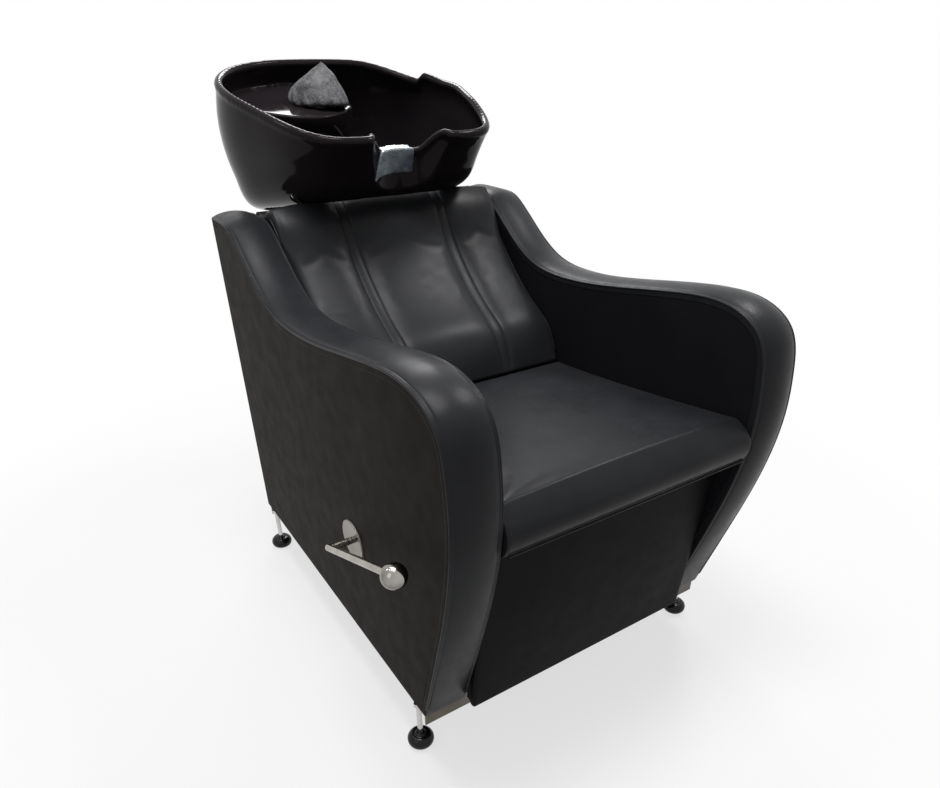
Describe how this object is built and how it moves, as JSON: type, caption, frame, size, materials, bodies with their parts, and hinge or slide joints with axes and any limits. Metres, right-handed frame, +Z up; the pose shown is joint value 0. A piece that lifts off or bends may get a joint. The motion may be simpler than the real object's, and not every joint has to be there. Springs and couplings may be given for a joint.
{
  "type": "salon shampoo chair",
  "caption": "Black padded salon shampoo chair with a tilting glazed wash basin, gel neck rest, lever-worked leg rest and levelling feet.",
  "frame": {"origin": "on the floor, under the middle of the bounding box", "axes": "+X to the sitter's left, +Y towards the back of the chair and the basin, +Z up"},
  "size_m": [0.723, 1.1514, 0.9991],
  "materials": {
    "leather": "satin",
    "panel_skin": "matte",
    "bowl": "gloss",
    "gel": "gloss",
    "bar_steel": "brushed",
    "chrome": "polished",
    "plate": "satin",
    "glide": "gloss",
    "cap": "matte",
    "wood": "raw",
    "frame_steel": "satin",
    "rubber": "matte",
    "wrap": "matte"
  },
  "bodies": {
    "frame": {"front_foot_bar": "bar_steel", "rear_foot_bar": "bar_steel", "lock_nuts": "chrome", "sill_left": "frame_steel", "sill_right": "frame_steel", "posts_left": "frame_steel", "posts_right": "frame_steel", "shaft_bushes": "cap", "side_panel_left": "panel_skin", "side_panel_right": "panel_skin", "inner_panel_left": "leather", "inner_panel_right": "leather", "arm_band_left": "leather", "arm_band_right": "leather", "rear_panel": "panel_skin", "seat_cushion": "leather", "seat_deck": "wood", "front_seat_rail": "frame_steel", "rear_seat_rail": "frame_steel", "deck_bolts": "frame_steel", "backrest_cushion": "leather", "backrest_board": "wood", "back_rails": "frame_steel", "leg_rest_pivots": "frame_steel", "lever_plate": "plate", "tilt_axle": "frame_steel", "axle_bearings": "cap"},
    "leg_rest": {"leg_rest_pad": "leather", "leg_rest_board": "wood", "leg_rest_brackets": "frame_steel", "bracket_pins": "frame_steel"},
    "links": {"drag_links": "frame_steel"},
    "lever": {"lever_shaft": "bar_steel", "lever_bar": "bar_steel", "lever_knob": "chrome", "crank_arms": "frame_steel", "crank_pins": "frame_steel"},
    "basin": {"basin_bowl": "bowl", "neck_rest": "gel", "basin_cradle": "frame_steel", "cradle_pads": "rubber", "basin_bolts": "frame_steel", "waste_tail": "chrome", "waste_seal": "rubber", "waste_nut": "cap", "mixer_body": "chrome", "mixer_nut": "frame_steel", "tap_wrap": "wrap"},
    "strainer": {"strainer": "chrome"},
    "mixer_lever": {"mixer_lever": "chrome"},
    "foot_front_left": {"glide_front_left": "glide", "stem_front_left": "chrome"},
    "foot_front_right": {"glide_front_right": "glide", "stem_front_right": "chrome"},
    "foot_rear_left": {"glide_rear_left": "glide", "stem_rear_left": "chrome"},
    "foot_rear_right": {"glide_rear_right": "glide", "stem_rear_right": "chrome"}
  },
  "joints": [
    {"name": "leg_rest_hinge", "type": "hinge", "parent": "frame", "child": "leg_rest", "pos_m": [0.027, -0.50974, 0.42], "axis": [-1, 0, 0], "range_deg": [0, 85]},
    {"name": "link_hinge", "type": "hinge", "parent": "leg_rest", "child": "links", "pos_m": [0.027, -0.47974, 0.36804], "axis": [1, 0, 0], "range_deg": [0, 85]},
    {"name": "lever_hinge", "type": "hinge", "parent": "frame", "child": "lever", "pos_m": [0.027, -0.26774, 0.343], "axis": [-1, 0, 0], "range_deg": [0, 85]},
    {"name": "basin_tilt", "type": "hinge", "parent": "frame", "child": "basin", "pos_m": [0.027, 0.25426, 0.742], "axis": [-1, 0, 0], "range_deg": [0, 20]},
    {"name": "strainer_lift", "type": "slide", "parent": "basin", "child": "strainer", "axis": [0, 0.1788, 0.9839], "range_m": [0, 0.03]},
    {"name": "mixer_turn", "type": "hinge", "parent": "basin", "child": "mixer_lever", "pos_m": [-0.01, 0.41363, 0.94996], "axis": [0, -0.225, 0.9744], "range_deg": [-14, 14]},
    {"name": "foot_front_left_turn", "type": "hinge", "parent": "frame", "child": "foot_front_left", "pos_m": [0.34, -0.43474, 0.06], "axis": [0, 0, 1], "continuous": true},
    {"name": "foot_front_right_turn", "type": "hinge", "parent": "frame", "child": "foot_front_right", "pos_m": [-0.286, -0.43474, 0.06], "axis": [0, 0, 1], "continuous": true},
    {"name": "foot_rear_left_turn", "type": "hinge", "parent": "frame", "child": "foot_rear_left", "pos_m": [0.34, 0.25926, 0.06], "axis": [0, 0, 1], "continuous": true},
    {"name": "foot_rear_right_turn", "type": "hinge", "parent": "frame", "child": "foot_rear_right", "pos_m": [-0.286, 0.25926, 0.06], "axis": [0, 0, 1], "continuous": true}
  ],
  "couplings": [
    {"joint": "lever_hinge", "follows": "leg_rest_hinge", "ratio": 1},
    {"joint": "link_hinge", "follows": "leg_rest_hinge", "ratio": 1}
  ]
}
